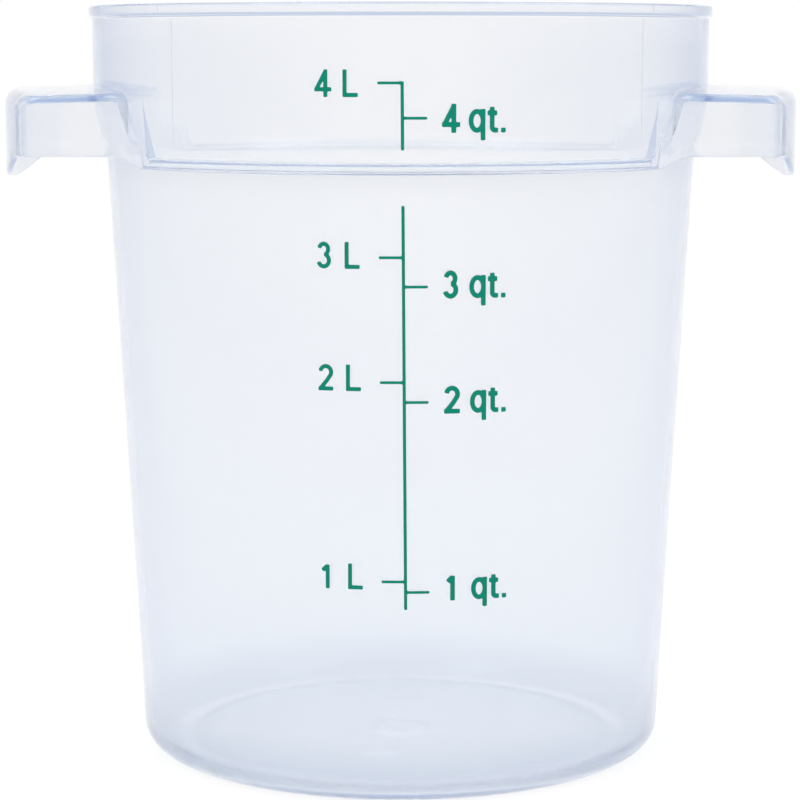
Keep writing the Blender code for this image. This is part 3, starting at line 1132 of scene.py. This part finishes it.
class GeometryTree(Nodes):
    """A Geometry Nodes tree under construction, with named inputs."""

    def __init__(self, name: str, kinds: dict[str, str]) -> None:
        """Starts a tree that takes and gives geometry, with an input for each name and kind.

        Args:
            name: the tree's name.
            kinds: the kind of value that each named input takes.
        """
        super().__init__(bpy.data.node_groups.new(name, "GeometryNodeTree"))
        sockets = self.tree.interface
        for way in ("INPUT", "OUTPUT"):
            sockets.new_socket("Geometry", in_out=way, socket_type="NodeSocketGeometry")
        self.ids = {}
        for key, kind in kinds.items():
            socket = sockets.new_socket(key, in_out="INPUT", socket_type=f"NodeSocket{kind}")
            self.ids[key] = socket.identifier
        self.given = self.node("NodeGroupInput").outputs

    def join(self, *parts: Socket) -> Socket:
        """Several geometries as one.

        Args:
            parts: the geometries.

        Returns:
            The whole.
        """
        made = self.node("GeometryNodeJoinGeometry")
        for part in parts:
            self.feed(made.inputs["Geometry"], part)
        return made.outputs["Geometry"]

    def give(self, geometry: Socket, material: Socket) -> None:
        """Ends the tree: real geometry, clad in the material.

        Args:
            geometry: what the tree has made.
            material: its material.
        """
        whole = self.out("GeometryNodeRealizeInstances", "Geometry", Geometry=geometry)
        clad = self.out("GeometryNodeSetMaterial", "Geometry", Geometry=whole, Material=material)
        self.node("NodeGroupOutput", Geometry=clad)

    def run(self, name: str, mesh: bpy.types.Mesh, values: dict[str, object],
            sharp_over: float) -> bpy.types.Object:
        """Runs the tree on a mesh.

        Args:
            name: the piece's name.
            mesh: what the tree starts from.
            values: a value for each named input; an object among them is used up.
            sharp_over: angle from which an edge stays sharp.

        Returns:
            The piece, with the tree's result as its mesh.
        """
        guide = link_object(name, mesh)
        modifier = guide.modifiers.new(self.tree.name, "NODES")
        modifier.node_group = self.tree
        for key, value in values.items():
            modifier[self.ids[key]] = value
        bpy.context.view_layer.update()
        evaluated = guide.evaluated_get(bpy.context.evaluated_depsgraph_get())
        done = bpy.data.meshes.new_from_object(evaluated)
        for spent in (guide, *(v for v in values.values() if isinstance(v, bpy.types.Object))):
            bpy.data.objects.remove(spent)
        done.name = name
        done.shade_smooth()
        done.set_sharp_from_angle(angle=sharp_over)
        return link_object(name, done)


def wrap_tree() -> GeometryTree:
    """The tree that lays flat artwork on a conical wall as a closed film of ink.

    Returns:
        The tree.
    """
    made = GeometryTree("ink_on_wall", {
        "Wall Radius": "Float", "Wall Height": "Float", "Wall Slope": "Float", "Lift": "Float",
        "Film": "Float", "Ticks": "Object", "Tick Places": "Object", "Ink": "Material",
    })
    given = made.given
    tick = made.out("GeometryNodeObjectInfo", "Geometry", Object=given["Ticks"])
    places = made.out("GeometryNodeObjectInfo", "Geometry", Object=given["Tick Places"])
    points = made.out("GeometryNodeMeshToPoints", "Points", Mesh=places)
    over = made.out("GeometryNodeInputNamedAttribute", "Attribute", {"data_type": "FLOAT"},
                    Name="turn")
    turned = made.out("ShaderNodeCombineXYZ", "Vector", Y=over)
    ticks = made.out("GeometryNodeInstanceOnPoints", "Instances", Points=points, Instance=tick,
                     Rotation=turned)
    real = made.out("GeometryNodeRealizeInstances", "Geometry", Geometry=ticks)
    flat = made.join(given["Geometry"], real)
    at = made.axes(made.out("GeometryNodeInputPosition", "Position"))
    rise = made.math("SUBTRACT", at["Z"], given["Wall Height"])
    wall = made.math("ADD", given["Wall Radius"], made.math("MULTIPLY", rise, given["Wall Slope"]))
    turn = made.math("DIVIDE", at["X"], wall)
    depth = made.math("ADD", made.math("ADD", wall, given["Lift"]), at["Y"])
    x = made.math("MULTIPLY", depth, made.math("SINE", turn))
    y = made.math("MULTIPLY", made.math("MULTIPLY", depth, made.math("COSINE", turn)), -1.0)
    place = made.out("ShaderNodeCombineXYZ", "Vector", X=x, Y=y, Z=at["Z"])
    sheet = made.out("GeometryNodeSetPosition", "Geometry", Geometry=flat, Position=place)
    back = made.out("GeometryNodeFlipFaces", "Mesh", Mesh=sheet)
    raised = made.out("GeometryNodeExtrudeMesh", "Mesh", {"mode": "FACES"}, Mesh=sheet,
                      Offset_Scale=given["Film"], Individual=False)
    film = made.out("GeometryNodeMergeByDistance", "Geometry", Geometry=made.join(back, raised),
                    Distance=WELD)
    made.give(film, given["Ink"])
    return made


@dataclass(frozen=True)
class Wall:
    """A stretch of wall with print on it, from its foot up. Its radius is at the skirt's edge."""

    name: str
    foot: float
    rise: float
    radius: float
    draft: float
    marks: tuple[Mark, ...]

    def height(self, share: float) -> float:
        """Height at a share of the stretch."""
        return self.foot + self.rise * share


class PrintedScale:
    """The volume scale on the front: strokes with ticks on collar and body, and figures beside."""

    def __init__(self, tub: TubForm, ink: bpy.types.Material) -> None:
        """Finds the walls that are printed on, and builds the tree that lays artwork on them.

        Args:
            tub: the tub's sizes.
            ink: the ink's finish.
        """
        self.form, self.ink, self.tree = PrintForm(), ink, wrap_tree()
        self.base = tub.skirt_z
        form, base = self.form, self.base
        collar = Wall("collar", base, tub.collar_depth, tub.collar_radius(base), tub.collar_draft,
                      form.collar_marks)
        body = Wall("body", 0.0, base, tub.body_radius(base), tub.body_draft, form.body_marks)
        self.walls = (collar, body)
        top = collar.height(form.collar_marks[0].height_share) + form.stroke / 2
        self.ends = {"collar": (top, collar.height(form.collar_foot_share)),
                     "body": tuple(body.height(share) for share in form.body_line_shares)}

    def sunk(self, z: float) -> float:
        """How far down the scale a height is, from 0 at its top to 1 at its foot."""
        top, foot = self.ends["collar"][0], self.ends["body"][1]
        return (top - z) / (top - foot)

    def middle(self, z: float) -> float:
        """How far right of the front's middle the stroke is at height z: it leans a little."""
        return self.form.offset + self.form.lean * self.sunk(z)

    def lay(self, name: str, art: Artwork, wall: Wall,
            ticks: list[tuple[float, Hand]]) -> bpy.types.Object:
        """Lays one flat artwork, with its ticks, on a wall.

        Args:
            name: the piece's name.
            art: the flat artwork.
            wall: the wall that it lies on.
            ticks: height and side of each tick that starts at the printed stroke.

        Returns:
            The piece, a closed film.
        """
        mesh = art.flat_mesh(name)
        tick, places = self.tick_guides(ticks)
        values = {"Wall Radius": wall.radius, "Wall Height": self.base,
                  "Wall Slope": tan(wall.draft), "Lift": self.form.lift, "Film": self.form.film,
                  "Ticks": tick, "Tick Places": places, "Ink": self.ink}
        return self.tree.run(name, mesh, values, self.form.sharp_over)

    def tick_guides(self, ticks: list[tuple[float, Hand]]) -> tuple[bpy.types.Object, ...]:
        """The tick's shape, and the points that it is repeated at, each with its turn about -Y.

        Args:
            ticks: height and side of each tick.

        Returns:
            The shape's object and the points' object.
        """
        form, half = self.form, self.form.stroke / 2
        art, root = Artwork(form), (half * form.tick_root, 0)
        art.stroke([root, (form.tick_reach, 0)], half * form.tick_half)
        art.stroke([root, (half * form.swell_reach, 0)], half * form.swell_half)
        flat = art.flat_mesh("tick_shape")
        flat.transform(Matrix.Translation((0, form.overlap, 0)))
        mesh = bpy.data.meshes.new("tick_places")
        mesh.from_pydata([(self.middle(z), 0, z) for z, _ in ticks], [], [])
        turn = mesh.attributes.new("turn", "FLOAT", "POINT")
        turn.data.foreach_set("value", [pi if side is Hand.LEFT else 0.0 for _, side in ticks])
        return link_object("tick_shape", flat), link_object("tick_places", mesh)

    def stroke(self, wall: Wall) -> bpy.types.Object:
        """The upright stroke on one wall, with its ticks.

        Args:
            wall: the wall.

        Returns:
            The piece, a closed film.
        """
        art = Artwork(self.form)
        art.stroke([(self.middle(z), z) for z in self.ends[wall.name]], self.form.stroke / 2)
        ticks = [(wall.height(mark.height_share), mark.hand) for mark in wall.marks]
        return self.lay(f"{wall.name}_stroke", art, wall, ticks)

    def label(self, mark: Mark, wall: Wall) -> bpy.types.Object:
        """The figure and the unit beside one tick.

        Args:
            mark: the mark that is lettered.
            wall: the wall that it is on.

        Returns:
            The piece, a closed film.
        """
        style = self.form.litre if mark.hand is Hand.LEFT else self.form.quart
        z = wall.height(mark.height_share)
        start, foot = self.middle(z) + style.drift * self.sunk(z), z - mark.drop
        art = Artwork(self.form)
        art.sign(str(mark.figure), start + style.figure_left, foot, style)
        for sign, left in zip(style.unit, style.sign_lefts):
            art.sign(sign, start + left, foot, style)
        return self.lay(f"label_{mark.figure}_{style.word}", art, wall, [])

    def build(self) -> list[tuple[bpy.types.Object, tuple[str, ...]]]:
        """Builds the scale.

        Returns:
            Each piece with the CAD nodes that it stands for.
        """
        strokes = [(self.stroke(wall), (f"{wall.name}_scale",)) for wall in self.walls]
        labels = [(self.label(mark, wall), ()) for wall in self.walls for mark in wall.marks]
        return strokes + labels


def ridge_tree() -> GeometryTree:
    """The tree that turns lines into fine round ridges.

    Returns:
        The tree.
    """
    made = GeometryTree("moulded_ridge",
                        {"Half Width": "Float", "Sides": "Int", "Plastic": "Material"})
    given = made.given
    line = made.out("GeometryNodeMeshToCurve", "Curve", Mesh=given["Geometry"])
    round_off = made.out("GeometryNodeCurvePrimitiveCircle", "Curve", Resolution=given["Sides"],
                         Radius=given["Half Width"])
    ridge = made.out("GeometryNodeCurveToMesh", "Mesh", Curve=line, Profile_Curve=round_off,
                     Fill_Caps=True)
    made.give(ridge, given["Plastic"])
    return made


@dataclass(frozen=True)
class PartingLines:
    """Fine ridges that the mould's halves leave on collar and bead, the same after half a turn."""

    collar: tuple[float, ...] = (radians(43.2), radians(180 - 46.7))
    collar_heights: tuple[float, float] = (0.184, 0.2185)
    bead: tuple[float, ...] = (radians(41.0), radians(180 - 43.8))
    bead_heights: tuple[float, float] = (0.2201, 0.2219)
    half_width: float = 0.00016
    sides: int = 8
    steps: int = 12
    sharp_over: float = radians(60)

    def lines(self, form: TubForm) -> bpy.types.Mesh:
        """The ridges' middles, as edges on the wall.

        Args:
            form: the tub's sizes.

        Returns:
            A mesh of edges alone.
        """
        points: list[tuple] = []
        edges: list[tuple] = []
        collar_z = np.linspace(*self.collar_heights, self.steps)
        bead_z = np.linspace(*self.bead_heights, self.steps)
        for turns, z, reach in ((self.collar, collar_z, form.collar_radius(collar_z)),
                                (self.bead, bead_z, np.full(self.steps, form.rim_radius))):
            for turn in turns + tuple(turn + pi for turn in turns):
                start = len(points)
                points += list(zip(reach * cos(turn), -reach * sin(turn), z))
                edges += [(start + i, start + i + 1) for i in range(self.steps - 1)]
        mesh = bpy.data.meshes.new("parting_lines")
        mesh.from_pydata(points, edges, [])
        return mesh

    def build(self, form: TubForm, plastic: bpy.types.Material) -> bpy.types.Object:
        """Builds the ridges.

        Args:
            form: the tub's sizes.
            plastic: the tub's finish.

        Returns:
            One object with every ridge.
        """
        values = {"Half Width": self.half_width, "Sides": self.sides, "Plastic": plastic}
        return ridge_tree().run("parting_lines", self.lines(form), values, self.sharp_over)


class Surface(Nodes):
    """A material's node tree under construction, round its Principled BSDF."""

    def __init__(self, name: str, **values: object) -> None:
        """Starts a material whose shader has these values.

        Args:
            name: the material's name.
            values: the shader's inputs, named with _ for a space.
        """
        self.material = bpy.data.materials.new(name)
        self.material.use_nodes = True
        super().__init__(self.material.node_tree)
        self.shader = self.tree.nodes["Principled BSDF"]
        self.set(self.shader, **values)


@dataclass(frozen=True)
class PlasticFinish:
    """Natural translucent polypropylene, semi-gloss, with a faint blue cast, and painted shade in
    its colour.

    Names in under, over, edge and top are heights above the ground. Light that has bounced more
    often than trapped_after goes straight on through the wall.
    """

    name: str = PLASTIC_SLOT
    clear: Colour = (0.998, 0.992, 0.990, 1.0)
    # Random cloudy tone, and painted shade: the wall is tinted towards this colour lower down.
    cloudy: Colour = (0.972, 0.984, 1.000, 1.0)
    # Painted shade: the colour that walls seen edge-on are darkened towards.
    slanting: Colour = (0.140, 0.240, 0.580, 1.0)
    body_under: float = 0.172
    collar_over: float = 0.180
    # Share of that painted shade on the body below the collar.
    body_slant: float = 0.70
    # Painted shade: the colour of the dark lines at the bead and of the shade at the foot.
    rim_line: Colour = (0.420, 0.520, 0.720, 1.0)
    bead_edge: float = 0.2196
    bead_top: float = 0.2217
    top_share: float = 0.55
    line_half: float = 0.00028
    foot_under: float = 0.018
    foot_share: float = 0.38
    cloudy_under: float = 0.19
    # Height from which the painted shade deepens downwards.
    uneven: float = 0.15
    flow_scale: float = 14.0
    flow_detail: float = 3.0
    slant_power: float = 4.0
    level_slant: float = 0.2
    trapped_after: float = 4.5
    clearness: float = 0.88
    ior: float = 1.45
    smooth: float = 0.07
    worn: float = 0.24
    worn_under: float = 0.03
    absorbed: Colour = (0.0, 0.32, 0.74, 1.0)
    density: float = 19.0
    gloss: float = 0.6
    gloss_roughness: float = 0.06

    def material(self) -> bpy.types.Material:
        """Builds the finish.

        Returns:
            The material.
        """
        made = Surface(self.name, IOR=self.ior, Metallic=0.0, Transmission_Weight=self.clearness,
                       Coat_Weight=self.gloss, Coat_Roughness=self.gloss_roughness)
        place = made.out("ShaderNodeTexCoord", "Object")
        height = made.axes(place)["Z"]
        bounces = made.out("ShaderNodeLightPath", "Ray Depth")
        dulled = made.span(height, self.worn_under, 0.0, self.smooth, self.worn, "SMOOTHSTEP")
        made.set(made.shader, Base_Color=self.colour(made, place, height), Roughness=dulled,
                 Alpha=made.math("LESS_THAN", bounces, self.trapped_after))
        inside = made.out("ShaderNodeVolumeAbsorption", "Volume", Color=self.absorbed,
                          Density=self.density)
        made.set(made.tree.nodes["Material Output"], Volume=inside)
        return made.material

    def colour(self, made: Surface, place: Socket, height: Socket) -> Socket:
        """Clear above with random cloudy tone, and painted shade: bluer low down, where the wall
        slants, at rim and foot.

        Args:
            made: the material's tree.
            place: Object coordinates.
            height: height above the ground.

        Returns:
            The colour.
        """
        flow = made.out("ShaderNodeTexNoise", "Fac", Vector=place, Scale=self.flow_scale,
                        Detail=self.flow_detail)
        # Painted shade: the tint turns cloudier and bluer towards the bottom; the noise adds random
        # cloudy tone.
        painted_low_shade = made.span(height, self.cloudy_under, 0.0)
        uneven = made.math("MULTIPLY_ADD", flow, self.uneven, painted_low_shade)
        tint = made.mix(uneven, self.clear, self.cloudy)
        # Painted shade: walls seen edge-on are darkened and blued by facing, less on level faces
        # and on the body.
        up = made.axes(made.out("ShaderNodeNewGeometry", "Normal"))["Z"]
        on_wall = made.span(made.math("MULTIPLY", up, up), 0.0, 1.0, 1.0, self.level_slant)
        slant = made.math("POWER", made.out("ShaderNodeLayerWeight", "Facing"), self.slant_power)
        by_height = made.span(height, self.body_under, self.collar_over, self.body_slant)
        deep = made.math("MULTIPLY", made.math("MULTIPLY", slant, on_wall), by_height)
        edge = made.mix(deep, tint, self.slanting)
        # Painted shade: thin dark lines at the bead's lower edge and on its top.
        under_bead = made.math("COMPARE", height, self.bead_edge, self.line_half)
        top_end = self.bead_top + 2 * self.line_half
        over_bead = made.span(height, self.bead_top, top_end, 0.0, self.top_share)
        rim = made.math("MAXIMUM", under_bead, over_bead)
        # Painted shade: the wall's lowest part is darkened towards the same colour.
        low = made.span(height, self.foot_under, 0.0, 0.0, self.foot_share)
        return made.mix(made.math("MULTIPLY_ADD", low, on_wall, rim), edge, self.rim_line)


@dataclass(frozen=True)
class InkFinish:
    """Green screen-printed ink, satin, a little uneven."""

    name: str = INK_SLOT
    full: Colour = (0.001, 0.195, 0.130, 1.0)
    thin: Colour = (0.002, 0.225, 0.152, 1.0)
    roughness: float = 0.55
    uneven: float = 0.08
    mottle_scale: float = 900.0
    mottle_detail: float = 2.0
    shine: float = 0.1

    def material(self) -> bpy.types.Material:
        """Builds the finish.

        Returns:
            The material.
        """
        made = Surface(self.name, Metallic=0.0, Specular_IOR_Level=self.shine)
        place = made.out("ShaderNodeTexCoord", "Object")
        mottle = made.out("ShaderNodeTexNoise", "Fac", Vector=place, Scale=self.mottle_scale,
                          Detail=self.mottle_detail)
        least, most = self.roughness - self.uneven, self.roughness + self.uneven
        made.set(made.shader, Base_Color=made.mix(mottle, self.full, self.thin),
                 Roughness=made.span(mottle, 0.0, 1.0, least, most))
        return made.material


@dataclass(frozen=True)
class Lamp:
    """A square soft lamp: its name, its place and its power in watts."""

    name: str
    place: tuple[float, float, float]
    power: float


@dataclass(frozen=True)
class Studio:
    """The white sweep, the soft light and the camera."""

    camera_back: float = 0.798
    camera_height: float = 0.2107
    camera_pitch: float = radians(82.41)
    focal_px: float = 2651.0
    frame_px: float = 800.0
    middle_px: float = 400.6
    sensor: float = 36.0
    floor_half: float = 3.0
    floor_colour: Colour = (0.92, 0.92, 0.92, 1.0)
    floor_shown: Colour = (0.18, 0.18, 0.18, 1.0)
    floor_glow: float = 0.86
    ambient: float = 0.9
    ceiling: Colour = (0.30, 0.39, 0.62, 1.0)
    ceiling_from: float = 0.22
    ceiling_full: float = 0.80
    sides_from: float = 0.30
    sides_share: float = 0.38
    lamps: tuple[Lamp, ...] = (
        Lamp("key", (-0.6, -0.7, 0.9), 3.0), Lamp("fill", (0.7, -0.5, 0.7), 2.0),
    )
    lamp_size: float = 0.6
    lamp_aim: tuple[float, float, float] = (0, 0, 0.11)

    def build(self) -> None:
        """Sets the scene round the object."""
        scene = bpy.context.scene
        scene.view_settings.view_transform = "Standard"
        self.camera(scene)
        self.world(scene)
        self.floor()
        for lamp in self.lamps:
            self.light(lamp)

    def camera(self, scene: bpy.types.Scene) -> None:
        """Puts the camera where the photograph was taken from.

        Args:
            scene: the scene.
        """
        data = bpy.data.cameras.new("camera")
        data.sensor_width = self.sensor
        data.lens = self.sensor * self.focal_px / self.frame_px
        data.shift_x = (self.frame_px / 2 - self.middle_px) / self.frame_px
        camera = link_object("camera", data)
        camera.location = (0, -self.camera_back, self.camera_height)
        camera.rotation_euler = (self.camera_pitch, 0, 0)
        scene.camera = camera

    def world(self, scene: bpy.types.Scene) -> None:
        """White to the eye, with a dim ceiling and dim sides in reflections and glass.

        Args:
            scene: the scene.
        """
        world = bpy.data.worlds.new("studio")
        world.use_nodes = True
        made = Nodes(world.node_tree)
        way = made.axes(made.out("ShaderNodeTexCoord", "Generated"))
        above = made.span(way["Z"], self.ceiling_from, self.ceiling_full)
        sideways = made.math("ABSOLUTE", way["X"])
        beside = made.span(sideways, self.sides_from, 1.0, 0.0, self.sides_share)
        mirrored = self.looked_at(made, "Is Glossy Ray", "Is Transmission Ray")
        dim = made.math("MULTIPLY", made.math("MAXIMUM", above, beside), mirrored)
        made.set(made.tree.nodes["Background"], Color=made.mix(dim, WHITE, self.ceiling),
                 Strength=made.span(self.looked_at(made), 0.0, 1.0, self.ambient))
        scene.world = world

    @staticmethod
    def looked_at(made: Nodes, *kinds: str) -> Socket:
        """A mask that is 1 for the kinds of ray named, or for all that see the backdrop.

        Args:
            made: the tree that the mask is for.
            kinds: outputs of the Light Path node, or none for all that see the backdrop.

        Returns:
            The mask.
        """
        path = made.node("ShaderNodeLightPath").outputs
        first, *others = kinds or ("Is Camera Ray", "Is Glossy Ray", "Is Transmission Ray")
        mask = path[first]
        for kind in others:
            mask = made.math("MAXIMUM", mask, path[kind])
        return mask

    def floor(self) -> None:
        """A wide white floor that keeps the shadow."""
        half = self.floor_half
        mesh = bpy.data.meshes.new("floor")
        corners = [(-half, -half, 0), (half, -half, 0), (half, half, 0), (-half, half, 0)]
        mesh.from_pydata(corners, [], [(0, 1, 2, 3)])
        made = Surface("floor_white", Roughness=1.0, Specular_IOR_Level=0.0, Emission_Color=WHITE)
        seen = self.looked_at(made)
        made.set(made.shader, Base_Color=made.mix(seen, self.floor_colour, self.floor_shown),
                 Emission_Strength=made.math("MULTIPLY", seen, self.floor_glow))
        mesh.materials.append(made.material)
        floor = link_object("floor", mesh)

    def light(self, lamp: Lamp) -> None:
        """Puts up one lamp, turned to the tub.

        Args:
            lamp: the lamp.
        """
        data = bpy.data.lights.new(lamp.name, "AREA")
        data.size = self.lamp_size
        data.energy = lamp.power
        light = link_object(lamp.name, data)
        light.location = lamp.place
        way = Vector(self.lamp_aim) - Vector(lamp.place)
        light.rotation_euler = way.to_track_quat("-Z", "Y").to_euler()


def settle(piece: bpy.types.Object, slot: str, *nodes: str) -> None:
    """Makes a piece ride on the tub's body, and hides the CAD nodes that it stands for.

    Args:
        piece: the finished piece.
        slot: not used.
        nodes: the CAD nodes that it stands for, if any.
    """
    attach(piece, BODY)
    if nodes:
        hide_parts(*nodes)
    LOG.info("%s: %d faces", piece.name, len(piece.data.polygons))


def tub_form() -> TubForm:
    """The tub's sizes, with the overall ones read from the frame."""
    low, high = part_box("tub")
    return TubForm(height=high.z - low.z, rim_radius=high.y, handle_reach=high.x)


def main() -> None:
    """Builds the tub, its print and the studio."""
    logging.basicConfig(level=logging.INFO, format="%(name)s: %(message)s")
    form = tub_form()
    tub = TubMoulding(form).build()
    plastic = PlasticFinish().material()
    tub.data.materials.append(plastic)
    settle(tub, PLASTIC_SLOT, "tub")
    settle(PartingLines().build(form, plastic), PLASTIC_SLOT)
    for piece, nodes in PrintedScale(form, InkFinish().material()).build():
        settle(piece, INK_SLOT, *nodes)
    Studio().build()


if __name__ == "__main__":
    main()
